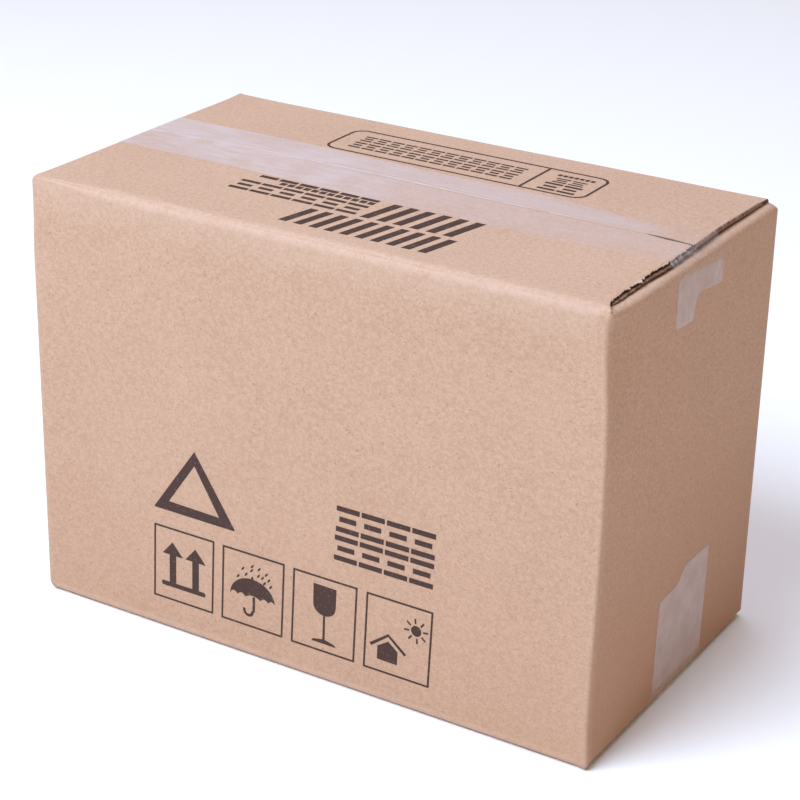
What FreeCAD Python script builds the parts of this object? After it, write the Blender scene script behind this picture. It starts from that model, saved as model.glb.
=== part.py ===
"""Closed corrugated carton, folded from one slotted sheet and taped along its two seams.

The frame has its origin at the middle of the base. X runs along the length, Y from the front wall
to the back wall, and Z up. Each strip of board or tape is drawn as the line of one of its faces,
given its thickness by an offset and extruded along its folds.
"""

import FreeCAD, Part
import Sketcher
import math
import os

# Driving dimensions, in millimetres
SIZES = {
    # Whole box, over its board and tape
    "box_length": 268.0,
    "box_width": 148.5,
    "box_height": 194.0,
    # Board, the outer radius of each kind of fold, and the slots between the flaps
    "board": 2.0,
    "major_bend": 4.5,
    "minor_bend": 3.5,
    "side_bend": 3.0,
    "slot_inset": 5.0,
    "flap_gap": 0.3,
    "minor_depth": 74.0,
    "seam_gap": 0.8,
    "seam_shift": 4.0,
    # Glued tab at the back left corner, and how far a corner fold laps its walls
    "tab_width": 30.0,
    "lap": 4.0,
    # Packing tape: tails are measured from the box's top or base, torn ones in two steps
    "film": 0.1,
    "tape_width": 46.0,
    "top_tape_shift": 2.0,
    "bottom_tape_shift": 5.5,
    "left_tail": 48.0,
    "top_tail": 28.0,
    "top_tail_tear": 20.0,
    "top_tear_from_edge": 18.0,
    "bottom_tail": 55.0,
    "bottom_tail_tear": 48.5,
    "bottom_tear_from_edge": 17.0,
}

# Planes and levels that several strips share
FRONT = "-Sizes.box_width / 2"
BACK = "Sizes.box_width / 2"
LEFT = "-Sizes.box_length / 2"
RIGHT = "Sizes.box_length / 2"
LEFT_FLAP_END = "Sizes.slot_inset - Sizes.box_length / 2"
RIGHT_FLAP_END = "Sizes.box_length / 2 - Sizes.slot_inset"
MAJOR_TOP = "Sizes.box_height - Sizes.film"
MAJOR_FOOT = "Sizes.film"
MINOR_TOP = "Sizes.box_height - Sizes.film - Sizes.board - Sizes.flap_gap"
MINOR_FOOT = "Sizes.film + Sizes.board + Sizes.flap_gap"
SLOT_TOP = MINOR_TOP + " - Sizes.minor_bend"
SLOT_FOOT = MINOR_FOOT + " + Sizes.minor_bend"

# Sketch planes. XZ faces the front, so its normal points to -Y
PLANES = {
    "XY": FreeCAD.Rotation(),
    "XZ": FreeCAD.Rotation(FreeCAD.Vector(1, 0, 0), 90),
    "YZ": FreeCAD.Rotation(FreeCAD.Vector(1, 1, 1), 120),
}
ORIGIN = (-1, 1)
START, END = 1, 2
NEAR = 1e-6

doc = FreeCAD.newDocument("carton")


def fill_sheet():
    """Writes the driving dimensions, each under its own alias."""
    made = doc.addObject("Spreadsheet::Sheet", "Sizes")
    for row, (name, size) in enumerate(SIZES.items(), start=1):
        made.set("A%d" % row, name)
        made.set("B%d" % row, str(size))
        made.setAlias("B%d" % row, name)
    doc.recompute()
    return made


sheet = fill_sheet()


def number(expression):
    """What an expression of the sheet gives now, to draw geometry near its solution."""
    return float(sheet.evalExpression(expression))


def point(across, up):
    """A point of a sketch from two expressions."""
    return FreeCAD.Vector(number(across), number(up), 0)


def new_sketch(name, plane):
    sketch = doc.addObject("Sketcher::SketchObject", name)
    sketch.Placement = FreeCAD.Placement(FreeCAD.Vector(), PLANES[plane])
    return sketch


def fix(sketch, kind, target, expression):
    """Adds one dimension to a sketch and binds it to the sheet."""
    index = sketch.addConstraint(Sketcher.Constraint(kind, *target, number(expression)))
    sketch.setExpression("Constraints[%d]" % index, expression)


def fix_across(sketch, line, end, expression):
    fix(sketch, "DistanceX", (*ORIGIN, line, end), expression)


def fix_up(sketch, line, end, expression):
    fix(sketch, "DistanceY", (*ORIGIN, line, end), expression)


def join_arc(sketch, arc, radius):
    """Makes an arc tangent to the lines before and after it, and gives it its radius."""
    line_end = sketch.getPoint(arc - 1, END)
    first = START if (sketch.getPoint(arc, START) - line_end).Length < NEAR else END
    last = START + END - first
    sketch.addConstraint(Sketcher.Constraint("Tangent", arc - 1, END, arc, first))
    sketch.addConstraint(Sketcher.Constraint("Tangent", arc, last, arc + 1, START))
    fix(sketch, "Radius", (arc,), radius)


def corner_arc(before, corner, after, radius):
    """The quarter circle that rounds a square corner, with the points where it starts and ends."""
    start = corner + (before - corner).normalize() * radius
    finish = corner + (after - corner).normalize() * radius
    centre = start + finish - corner
    middle = centre + (corner - centre).normalize() * radius
    return Part.Arc(start, middle, finish), start, finish


def folded_path(name, plane, corners, radius):
    """An open path, square to its sketch's axes, with a bend at each inner corner.

    Each corner is a pair of expressions. The geometry is line, bend, line and so on.
    """
    sketch = new_sketch(name, plane)
    points = [point(*corner) for corner in corners]
    pen = points[0]
    for before, corner, after in zip(points, points[1:], points[2:]):
        arc, arc_start, arc_finish = corner_arc(before, corner, after, number(radius))
        sketch.addGeometry(Part.LineSegment(pen, arc_start))
        sketch.addGeometry(arc)
        pen = arc_finish
    sketch.addGeometry(Part.LineSegment(pen, points[-1]))
    last_line = 2 * len(points) - 4
    for place, (before, after) in enumerate(zip(points, points[1:])):
        if abs(before.x - after.x) < NEAR:
            sketch.addConstraint(Sketcher.Constraint("Vertical", 2 * place))
            fix_across(sketch, 2 * place, START, corners[place][0])
        else:
            sketch.addConstraint(Sketcher.Constraint("Horizontal", 2 * place))
            fix_up(sketch, 2 * place, START, corners[place][1])
    fix_free_end(sketch, 0, START, points[:2], corners[0])
    fix_free_end(sketch, last_line, END, points[-2:], corners[-1])
    for arc in range(1, last_line, 2):
        join_arc(sketch, arc, radius)
    return sketch


def fix_free_end(sketch, line, end, points, corner):
    """Fixes where the first or last line of a path stops."""
    if abs(points[0].x - points[1].x) < NEAR:
        fix_up(sketch, line, end, corner[1])
    else:
        fix_across(sketch, line, end, corner[0])


def ribbon(path, offset, width):
    """Gives a path its thickness. The offset's sign says which side of the path is filled."""
    section = doc.addObject("Part::Offset2D", path.Name + "_section")
    section.Source = path
    section.Mode = "Skin"
    section.Join = "Intersection"
    section.Fill = True
    section.setExpression("Value", offset)
    strip = doc.addObject("Part::Extrusion", path.Name + "_strip")
    strip.Base = section
    strip.DirMode = "Normal"
    strip.Solid = True
    strip.setExpression("LengthFwd", width)
    return strip


def block(name, low, high):
    """A box between two opposite corners, each three expressions."""
    made = doc.addObject("Part::Box", name)
    for side, axis, near, far in zip(("Length", "Width", "Height"), "xyz", low, high):
        made.setExpression(side, "(%s) - (%s)" % (far, near))
        made.setExpression("Placement.Base." + axis, near)
    return made


def major_strip(name, wall, flap_edge, offset):
    """A long wall with its top and bottom flap, which reach to the seams."""
    corners = [(flap_edge, MAJOR_FOOT), (wall, MAJOR_FOOT), (wall, MAJOR_TOP), (flap_edge, MAJOR_TOP)]
    path = folded_path(name, "YZ", corners, "Sizes.major_bend")
    strip = ribbon(path, offset, "Sizes.box_length - 2 * Sizes.slot_inset")
    strip.Symmetric = True
    return strip


def minor_strip(name, wall, flap_edge, offset):
    """An end wall with its top and bottom flap, which lie inside the long flaps."""
    corners = [(flap_edge, MINOR_FOOT), (wall, MINOR_FOOT), (wall, MINOR_TOP), (flap_edge, MINOR_TOP)]
    path = folded_path(name, "XZ", corners, "Sizes.minor_bend")
    strip = ribbon(path, offset, "Sizes.box_width - 2 * Sizes.slot_inset")
    strip.Symmetric = True
    return strip


def corner_fold(name, corners):
    """The upright fold between two walls, as tall as the slots leave it."""
    path = folded_path(name, "XY", corners, "Sizes.side_bend")
    path.setExpression("Placement.Base.z", SLOT_FOOT)
    return ribbon(path, "-Sizes.board", "(%s) - (%s)" % (SLOT_TOP, SLOT_FOOT))


def make_carton():
    """The whole sheet: two long strips, two end strips, four corner folds and the glued tab."""
    front_seam = "Sizes.seam_shift - Sizes.seam_gap / 2"
    back_seam = "Sizes.seam_shift + Sizes.seam_gap / 2"
    left_flap = LEFT + " + Sizes.minor_depth"
    right_flap = RIGHT + " - Sizes.minor_depth"
    front_lap = FRONT + " + Sizes.slot_inset + Sizes.lap"
    back_lap = BACK + " - Sizes.slot_inset - Sizes.lap"
    left_lap = LEFT + " + Sizes.slot_inset + Sizes.lap"
    right_lap = RIGHT + " - Sizes.slot_inset - Sizes.lap"
    tab_face = LEFT + " + Sizes.board"
    tab_edge = BACK + " - Sizes.tab_width"
    raw_edge = BACK + " - Sizes.side_bend"
    sheet_of_board = doc.addObject("Part::MultiFuse", "carton")
    sheet_of_board.Shapes = [
        major_strip("front_panel", FRONT, front_seam, "Sizes.board"),
        major_strip("back_panel", BACK, back_seam, "-Sizes.board"),
        minor_strip("right_panel", RIGHT, right_flap, "Sizes.board"),
        minor_strip("left_panel", LEFT, left_flap, "-Sizes.board"),
        corner_fold("front_right_fold", [(right_lap, FRONT), (RIGHT, FRONT), (RIGHT, front_lap)]),
        corner_fold("back_right_fold", [(RIGHT, back_lap), (RIGHT, BACK), (right_lap, BACK)]),
        corner_fold("front_left_fold", [(LEFT, front_lap), (LEFT, FRONT), (left_lap, FRONT)]),
        corner_fold("glued_tab", [(left_lap, BACK), (tab_face, BACK), (tab_face, tab_edge)]),
        block("left_raw_edge", (LEFT, back_lap, SLOT_FOOT), (tab_face, raw_edge, SLOT_TOP)),
    ]
    sheet_of_board.Refine = True
    return sheet_of_board


def tape_path(name, top, bend_level, left_end, right_end):
    """The tape's inner face from tail to tail: down the ends, and pulled tight over the flap ends."""
    radius = number("Sizes.minor_bend")
    flap_corner = point(RIGHT_FLAP_END, top)
    bend_centre = point(RIGHT + " - Sizes.minor_bend", bend_level)
    to_centre = bend_centre - flap_corner
    turn = -math.copysign(1, to_centre.y)
    slant = math.atan2(to_centre.y, to_centre.x) + turn * math.asin(radius / to_centre.Length)
    slanted = math.sqrt(to_centre.Length**2 - radius**2)
    touch = flap_corner + FreeCAD.Vector(math.cos(slant), math.sin(slant), 0) * slanted
    half_turn = math.atan2(touch.y - bend_centre.y, touch.x - bend_centre.x) / 2
    crown = bend_centre + FreeCAD.Vector(math.cos(half_turn), math.sin(half_turn), 0) * radius
    right_side = [flap_corner, touch, crown, point(RIGHT, bend_level), point(RIGHT, right_end)]
    left_side = [FreeCAD.Vector(-place.x, place.y, 0) for place in right_side]
    left_side[-1] = point(LEFT, left_end)

    sketch = new_sketch(name, "XZ")
    sketch.addGeometry(Part.LineSegment(left_side[4], left_side[3]))
    sketch.addGeometry(Part.Arc(left_side[3], left_side[2], left_side[1]))
    sketch.addGeometry(Part.LineSegment(left_side[1], left_side[0]))
    sketch.addGeometry(Part.LineSegment(left_side[0], right_side[0]))
    sketch.addGeometry(Part.LineSegment(right_side[0], right_side[1]))
    sketch.addGeometry(Part.Arc(right_side[1], right_side[2], right_side[3]))
    sketch.addGeometry(Part.LineSegment(right_side[3], right_side[4]))
    left_tail, left_bend, left_slant, run, right_slant, right_bend, right_tail = range(7)
    for tail in (left_tail, right_tail):
        sketch.addConstraint(Sketcher.Constraint("Vertical", tail))
    sketch.addConstraint(Sketcher.Constraint("Horizontal", run))
    sketch.addConstraint(Sketcher.Constraint("Coincident", left_slant, END, run, START))
    sketch.addConstraint(Sketcher.Constraint("Coincident", run, END, right_slant, START))
    for bend in (left_bend, right_bend):
        join_arc(sketch, bend, "Sizes.minor_bend")
    fix_across(sketch, left_tail, START, LEFT)
    fix_across(sketch, right_tail, END, RIGHT)
    fix_up(sketch, left_tail, START, left_end)
    fix_up(sketch, left_tail, END, bend_level)
    fix_up(sketch, right_tail, START, bend_level)
    fix_up(sketch, right_tail, END, right_end)
    fix_across(sketch, run, START, LEFT_FLAP_END)
    fix_across(sketch, run, END, RIGHT_FLAP_END)
    fix_up(sketch, run, START, top)
    return sketch


def make_tape(name, path, shift, offset, torn_low, torn_high):
    """A strip of film with a torn step in its right tail, between two places across and up."""
    path.setExpression("Placement.Base.y", shift)
    strip = ribbon(path, offset, "Sizes.tape_width")
    strip.Symmetric = True
    torn = block(
        name + "_tear",
        (RIGHT + " - Sizes.board", torn_low[0], torn_low[1]),
        (RIGHT + " + Sizes.board", torn_high[0], torn_high[1]),
    )
    tape = doc.addObject("Part::Cut", name)
    tape.Base = strip
    tape.Tool = torn
    return tape


def make_top_tape():
    """The long leg of the torn tail is on the front side."""
    path = tape_path(
        "top_tape_path",
        MAJOR_TOP,
        SLOT_TOP,
        "Sizes.box_height - Sizes.left_tail",
        "Sizes.box_height - Sizes.top_tail",
    )
    shift = "Sizes.top_tape_shift"
    torn_low = (
        shift + " - Sizes.tape_width / 2 + Sizes.top_tear_from_edge",
        "Sizes.box_height - Sizes.top_tail - Sizes.board",
    )
    torn_high = (
        shift + " + Sizes.tape_width / 2 + Sizes.board",
        "Sizes.box_height - Sizes.top_tail_tear",
    )
    return make_tape("top_tape", path, shift, "Sizes.film", torn_low, torn_high)


def make_bottom_tape():
    """The long leg of the torn tail is on the back side."""
    path = tape_path(
        "bottom_tape_path", MAJOR_FOOT, SLOT_FOOT, "Sizes.left_tail", "Sizes.bottom_tail"
    )
    shift = "Sizes.bottom_tape_shift"
    torn_low = (shift + " - Sizes.tape_width / 2 - Sizes.board", "Sizes.bottom_tail_tear")
    torn_high = (
        shift + " - Sizes.tape_width / 2 + Sizes.bottom_tear_from_edge",
        "Sizes.bottom_tail + Sizes.board",
    )
    return make_tape("bottom_tape", path, shift, "-Sizes.film", torn_low, torn_high)


def check(nodes):
    """Stops if any object failed, a sketch is loose, or a node isn't one valid solid."""
    for thing in doc.Objects:
        if {"Invalid", "Error"} & set(thing.State):
            raise RuntimeError("%s failed: %s" % (thing.Name, thing.State))
        if thing.TypeId == "Sketcher::SketchObject" and not thing.FullyConstrained:
            raise RuntimeError("%s isn't fully constrained" % thing.Name)
    for node in nodes:
        shape = node.Shape
        print(node.Label, "volume %.1f mm3" % shape.Volume, shape.BoundBox)
        if shape.isNull() or not shape.isValid() or len(shape.Solids) != 1:
            raise RuntimeError("%s isn't one valid solid" % node.Label)


nodes = [make_carton(), make_top_tape(), make_bottom_tape()]
doc.recompute()
check(nodes)
os.makedirs("parts", exist_ok=True)
for node in nodes:
    node.Shape.exportStep("parts/%s.step" % node.Label)
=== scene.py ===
"""Looks of the taped carton: folded board, worn tape, printed marks, floor, lights and camera.

Lengths are in millimetres until a mesh is made, and places are in the frame of the solids.
"""

import bpy
import bmesh
import math
from itertools import product
from mathutils import Matrix, Vector, noise
from mathutils.geometry import tessellate_polygon


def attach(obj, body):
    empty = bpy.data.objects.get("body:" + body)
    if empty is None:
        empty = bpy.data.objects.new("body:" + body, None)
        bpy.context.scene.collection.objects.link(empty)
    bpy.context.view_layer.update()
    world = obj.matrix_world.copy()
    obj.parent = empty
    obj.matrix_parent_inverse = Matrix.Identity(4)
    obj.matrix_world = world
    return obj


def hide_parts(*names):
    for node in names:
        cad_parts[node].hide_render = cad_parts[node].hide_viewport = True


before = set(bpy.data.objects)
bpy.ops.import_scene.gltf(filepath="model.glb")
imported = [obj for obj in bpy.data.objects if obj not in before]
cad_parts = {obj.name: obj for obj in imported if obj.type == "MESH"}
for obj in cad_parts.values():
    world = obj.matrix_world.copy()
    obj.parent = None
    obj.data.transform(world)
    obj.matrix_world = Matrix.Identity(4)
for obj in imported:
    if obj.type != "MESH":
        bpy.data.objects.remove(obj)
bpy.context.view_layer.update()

MM = 0.001
WELD = 1e-6
X = Vector((1, 0, 0))
Y = Vector((0, 1, 0))
UP = Vector((0, 0, 1))
SEED = Vector((3.1, 7.7, 1.9))

# The box, half its length and width, its board, and the slots between its flaps
HALF_LENGTH = 134.0
HALF_WIDTH = 74.25
BOX_TOP = 194.0
BOARD = 2.0
LINER = 0.3
SLOT = 5.0
FLAP_END = HALF_LENGTH - SLOT
SIDE_END = HALF_WIDTH - SLOT

# Long (major) and short (minor) flaps: their outer faces' levels and their folds' bends
MAJOR_LEVEL = 192.35
MAJOR_FOOT = 0.12
MAJOR_BEND = 4.5
MAJOR_FOOT_BEND = 3.8
MINOR_LEVEL = 190.4
MINOR_FOOT = 2.3
MINOR_BEND = 2.9
MINOR_FOOT_BEND = 1.6
MINOR_REACH = 74.0
BOTTOM_SEAM = 4.0
SEAM_GAP = 0.7

# The front top fold is tighter left of this stretch
LEFT_FRONT_BEND = 1.3
BEND_GROWS = (6 - HALF_LENGTH, 46 - HALF_LENGTH)

# The glued tab: its width behind its fold, its gap, and stops across it and the wall's raw edge
TAB_FLAT = 27.0
TAB_GAP = 0.05
TAB_STEPS = 8
TAB_STOPS = [1.3, 1.65, 2.0]
RAW_STOPS = [SIDE_END, SIDE_END + 1.0, HALF_WIDTH - 3.0]

# Material indices of the board's mesh
FACE, CUT = 0, 1

# How far film and ink stand off the board
FILM_LIFT = 0.07
INK_LIFT = 0.06


def ramp(value, low, high):
    """Smooth step from 0 at low to 1 at high."""
    part = min(max((value - low) / (high - low), 0.0), 1.0)
    return part * part * (3 - 2 * part)


def along_points(points, value):
    """Straight interpolation in a list of (place, value) pairs."""
    if value <= points[0][0]:
        return points[0][1]
    for (low, first), (high, last) in zip(points, points[1:]):
        if value <= high:
            return first + (last - first) * (value - low) / (high - low)
    return points[-1][1]


def wave(x, y, z, size, seed=0.0):
    """Smooth noise from -1 to 1, with features of about the given size."""
    return noise.noise(Vector((x, y, z)) / size + SEED * (1 + seed))


def hump(distance, width):
    return math.exp(-((distance / width) ** 2))


def steps(low, high, count):
    return [low + (high - low) * k / count for k in range(count + 1)]


def ray(turn):
    return Vector((math.cos(turn), math.sin(turn)))


def add_object(name, data):
    made = bpy.data.objects.new(name, data)
    bpy.context.scene.collection.objects.link(made)
    return made


# The folded sheet

# The top seam by x: where its flaps meet, how far apart, and how far the back one stands up
SEAM_LINE = [(-134, 3.9), (-100, 4.4), (-35, 4.4), (0, 4.0), (30, 3.1), (60, 2.4), (110, 2.3),
             (128, 0.2), (134, -0.4)]
SEAM_OPEN = [(-134, 0.01), (108, 0.02), (112, 0.5), (119, 1.2), (127, 0.8), (134, 1.0)]
SEAM_STEP = [(70, 0.0), (108, 0.04), (114, 0.3), (134, 0.25)]
SEAM_STEP_CURVE = 6
STEP_DOWN = 0.3

# How far the top flaps spring up towards the seam, and the front one at its right end
CROWN = 1.0
CROWN_CURVE = 1.3
CROWN_GROWS = (-HALF_LENGTH, -60)
END_LIFT = 0.35
END_LIFT_BY = 0.12
END_LIFT_GROWS = (114, 129)

# Dents: their depth, the sizes of slow and fine ones, and where they fade out
DENT = 0.5
SLOW_DENTS = 75.0
FINE_DENTS = 22.0
CALM_BASE = (0.5, 14.0)
CALM_FOLD = (2.0, 26.0)
CALM_SHARE = 0.2

# The sharp line along a long fold: its depth, where it is round the fold in degrees, and how uneven
CREASE = 0.28
CREASE_ANGLE = 48
CREASE_ROUND = 7
CREASE_WAVER = 9.0

# Cut ends of the long flaps, fold to seam: how far out they are, and how deep the fluting lies
FRONT_END = [(0.0, 0.0), (0.1, -0.5), (0.3, -0.9), (0.5, -0.5), (0.65, 0.3), (1.0, 0.3)]
BACK_END = [(0.0, 0.7), (0.3, 0.5), (0.5, 0.1), (0.7, 0.2), (1.0, 1.1)]
LEFT_END = 1.2
LEFT_END_WAVER = 0.15
END_SHIFT_FROM = 95
RECESS = {"front": 1.3, "back": 0.8}
LEFT_RECESS = 0.3

# Layers of a cut end: first and last depth, how far out, how torn, material and painted shade
LEDGES = {
    "front": [(0.0, LINER, 1.0, 0.9, FACE, 0.0), (1.45, BOARD, 1.85, 0.6, CUT, 0.8)],
    "back": [(0.0, 1.45, 1.0, 0.2, CUT, 1.25), (BOARD - LINER, BOARD, 0.6, 0.2, CUT, 0.3)],
}
PLAIN_LEDGES = [(0.0, LINER, 1.0, 0.25, FACE, 0.0), (BOARD - LINER, BOARD, 1.0, 0.25, CUT, 0.8)]
LEDGE_STEPS = 240
# Painted shade of the raw cut edges of the glued tab and the left wall
RAW_SHADE = 1.2

# The place where the top liner is torn out over the front flap's cut end
TORN_AT = -44.5
TORN_ROUND = 3.6
TORN_WEAR = 2.4

# How far the front right upright fold is knocked in, by height
SQUEEZE = [(0, 0.0), (14, 0.8), (24, 1.0), (44, 0.8), (64, 0.4), (104, 0.0), (134, 0.2), (154, 0.9),
           (164, 1.8), (174, 2.4), (182, 2.6), (187, 1.8), (192, 0.6)]
SQUEEZE_ALONG = 26.0
SQUEEZE_ROUND = 22.0

# Upright folds: radius, how much it grows near the top, and how far the corner is crushed
RADIUS_GROWS = (156, 182)
CORNERS = {
    ("front", "right"): (1.5, 0.5, 0.8),
    ("back", "right"): (2.0, 0.3, 1.2),
    ("front", "left"): (3.2, 1.6, 0.2),
    ("back", "left"): (2.6, 0.0, 0.5),
}
CORNER_STEPS = 12
CRUSH_BLEND = (0.1, 0.9)
BEND_ROOM = 0.9
OPEN_CORNER = ("back", "right")
OPEN_GAP = 0.1
GLUED_CORNER = ("back", "left")

# How rubbed an upright fold is, with a painted highlight: how much, how far round it, and how fast that
# fades
UPRIGHT_WEAR_HIGHLIGHT = {("front", "right"): (0.55, 0.58)}
PLAIN_WEAR_HIGHLIGHT = (0.4, 0.5)
WEAR_HIGHLIGHT_FADE = 2.4

# How rubbed a level fold is, with a painted highlight band: most at one angle, fading along the flap and
# down the wall
FOLD_WEAR_HIGHLIGHT = {"major": 1.0, "minor": 0.2}
WEAR_HIGHLIGHT_ANGLE = 25
WEAR_HIGHLIGHT_SPREAD = 80
FLAP_WEAR_HIGHLIGHT = 0.18
FLAP_WEAR_HIGHLIGHT_FADE = 3
WALL_WEAR_HIGHLIGHT = 0.68
WALL_WEAR_HIGHLIGHT_SPAN = (174, 190)

# Each side's outward way, the way along its folds, and its distance from the middle
SIDES = {
    "front": (-Y, X, HALF_WIDTH),
    "back": (Y, X, HALF_WIDTH),
    "right": (X, Y, HALF_LENGTH),
    "left": (-X, Y, HALF_LENGTH),
}
TOPS = {"major": (MAJOR_LEVEL, MAJOR_BEND), "minor": (MINOR_LEVEL, MINOR_BEND)}
FEET = {"major": (MAJOR_FOOT, MAJOR_FOOT_BEND), "minor": (MINOR_FOOT, MINOR_FOOT_BEND)}
KIND = {"front": "major", "back": "major", "right": "minor", "left": "minor"}

# Stations across a strip: heights on the wall, degrees round a fold, shares of a flap's depth
LOW, HIGH = 5.2, 187.5
WALL_STOPS = [LOW] + steps(9, 183, 29) + [HIGH]
ARC_STOPS = [0, 10, 20, 30, 38, 42, 45, 48, 51, 54, 60, 70, 80, 90]
CLOSED_FLAP = 0.05
FLAP_STOPS = [CLOSED_FLAP / 2, CLOSED_FLAP, 0.1] + steps(0.18, 1.0, 11)

# Lines along a strip: how many, and how far its first two are from its ends
STRIP_LINES = {"major": 46, "minor": 24}
FIRST_LINE = 1.5
SECOND_LINE = 5


def seam(x):
    return along_points(SEAM_LINE, x)


def reach(side, x, top):
    """How far a flap's edge is from its wall."""
    if KIND[side] == "minor":
        return MINOR_REACH
    line = seam(x) if top else BOTTOM_SEAM
    gap = along_points(SEAM_OPEN, x) if top else SEAM_GAP
    return HALF_WIDTH + (line if side == "front" else -line) - gap / 2


def rise(side, q, x):
    """How far a top flap stands over its level: it springs up towards the seam."""
    q = min(max(q, 0.0), 1.0)
    spring = CROWN * (1 - (1 - q) ** CROWN_CURVE) * ramp(x, *CROWN_GROWS)
    step = along_points(SEAM_STEP, x) * q**SEAM_STEP_CURVE
    if side == "back":
        return spring + step
    return spring - STEP_DOWN * step + END_LIFT * ramp(q, 0.0, END_LIFT_BY) * ramp(x, *END_LIFT_GROWS)


def dent(place):
    """How far the board is pressed in: waves that fade out at the base and upright folds."""
    slow = wave(place.x, place.y, place.z, SLOW_DENTS)
    fine = wave(place.x, place.y, place.z, FINE_DENTS, 1.0)
    to_fold = max(HALF_LENGTH - abs(place.x), HALF_WIDTH - abs(place.y))
    calm = ramp(place.z, *CALM_BASE) * (CALM_SHARE + (1 - CALM_SHARE) * ramp(to_fold, *CALM_FOLD))
    return DENT * (0.5 + 0.4 * slow + 0.1 * fine) * calm


def squeezed(place):
    """Carries a point with the front right upright fold, which is knocked in from the end."""
    along = 1 - ramp(HALF_LENGTH - place.x, 0, SQUEEZE_ALONG)
    around = 1 - ramp(place.y + HALF_WIDTH, 0, SQUEEZE_ROUND)
    return place - Vector((along_points(SQUEEZE, place.z) * along * around, 0, 0))


def settled(place, normal, depth, crease=0.0):
    """Where a point of the ideal box ends up on the used one, at a depth in the board."""
    return squeezed(place - normal * (depth + dent(place) + crease))


def fold_size(side, x, top):
    """Height of a side's flap and bend of its fold, tighter at the front top fold's left."""
    if not top:
        return FEET[KIND[side]]
    level, bend = TOPS[KIND[side]]
    if side == "front":
        bend += (LEFT_FRONT_BEND - bend) * (1 - ramp(x, *BEND_GROWS))
    return level, bend


def end_shift(side, q, x):
    """How far the cut end of a long flap is out from its slot's line."""
    if x > 0:
        return along_points(FRONT_END if side == "front" else BACK_END, q)
    return LEFT_END + LEFT_END_WAVER * wave(q * 60, x, 0, 20.0)


def recess(side, q, x):
    """How deep the fluting lies behind the liners' cut ends."""
    return (RECESS[side] if x > 0 else LEFT_RECESS) * ramp(q, 0.6 * CLOSED_FLAP, 2 * CLOSED_FLAP)


def across(side, x, station, depth=0.0):
    """A point of one side's strip, at a place along its folds and a station across them."""
    outward, along, distance = SIDES[side]
    kind = KIND[side]
    name, value = station
    top = name.startswith("top")
    level, bend = fold_size(side, x, top)
    crease = 0.0
    if name == "wall":
        inward, z, out, up, shift = 0.0, value, 1.0, 0.0, 0.0
    elif name.endswith("arc"):
        turn = math.radians(value)
        inward = bend * (1 - math.cos(turn))
        out, up = math.cos(turn), math.sin(turn)
        z = level - bend * (1 - up) if top else level + bend * (1 - up)
        if depth == 0 and kind == "major":
            fold_line = max(0.0, 1 - abs(value - CREASE_ANGLE) / CREASE_ROUND)
            crease = CREASE * fold_line * (0.75 + 0.5 * wave(x, 0, distance, CREASE_WAVER))
        shift = end_shift(side, 0.0, x) * value / 90
    else:
        inward = bend + value * (reach(side, x, top) - bend)
        out, up = 0.0, 1.0
        z = level
        if kind == "major":
            z += rise(side, value, x) if top else 0.0
            shift = end_shift(side, value, x) - recess(side, value, x)
    if kind == "major":
        x += math.copysign(ramp(abs(x), END_SHIFT_FROM, FLAP_END), x) * shift
    place = outward * (distance - inward) + along * x + UP * z
    normal = outward * out + UP * (up if top or name == "wall" else -up)
    return settled(place, normal, depth, crease)


def top_level(x, y):
    """Height of the board's top face."""
    side = "front" if y < seam(x) else "back"
    inward = HALF_WIDTH + (y if side == "front" else -y)
    return MAJOR_LEVEL + rise(side, (inward - MAJOR_BEND) / (reach(side, x, True) - MAJOR_BEND), x)


def on_top(x, y, lift=0.0):
    place = Vector((x, y, top_level(x, y)))
    return place + UP * (lift - dent(place))


def on_wall(side, u, z, lift=0.0):
    outward, along, distance = SIDES[side]
    place = outward * distance + along * u + UP * z
    return place + outward * (lift - dent(place))


def fold_stations(top):
    """The stations of one fold and the start of its flap, from the wall on."""
    where = "top" if top else "foot"
    found = [(where + "_arc", angle) for angle in ARC_STOPS]
    return found + [(where + "_flap", q) for q in FLAP_STOPS if q <= CLOSED_FLAP]


def stations():
    """The stations across one strip, from its bottom flap's edge to its top flap's edge."""
    found = [("foot_flap", q) for q in reversed(FLAP_STOPS) if q > CLOSED_FLAP]
    found += reversed(fold_stations(False))
    found += [("wall", z) for z in WALL_STOPS]
    found += fold_stations(True)
    return found + [("top_flap", q) for q in FLAP_STOPS if q > CLOSED_FLAP]


def corner_line(first, second, part, z):
    """A point of the upright fold between two sides, a part of the way round, and its normal.

    The last two values are the fold's radius and how near the point is to a side's own strip.
    """
    near, _, near_distance = SIDES[first]
    far, _, far_distance = SIDES[second]
    radius, growth, _ = CORNERS[first, second]
    radius += growth * ramp(z, *RADIUS_GROWS)
    straight = SLOT - radius
    arc = radius * math.pi / 2
    gone = part * (2 * straight + arc)
    corner = near * near_distance + far * far_distance + UP * z
    strip_share = max(0.0, 1 - min(gone, 2 * straight + arc - gone) / straight)
    if gone < straight:
        return corner - far * (SLOT - gone), near, radius, strip_share
    if gone > straight + arc:
        return corner - near * (gone - straight - arc + radius), far, radius, strip_share
    turn = (gone - straight) / radius
    normal = near * math.cos(turn) + far * math.sin(turn)
    return corner + (normal - near - far) * radius, normal, radius, 0.0


def corner_point(first, second, part, z, depth):
    place, normal, _, _ = corner_line(first, second, part, z)
    return settled(place, normal, depth)


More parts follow.
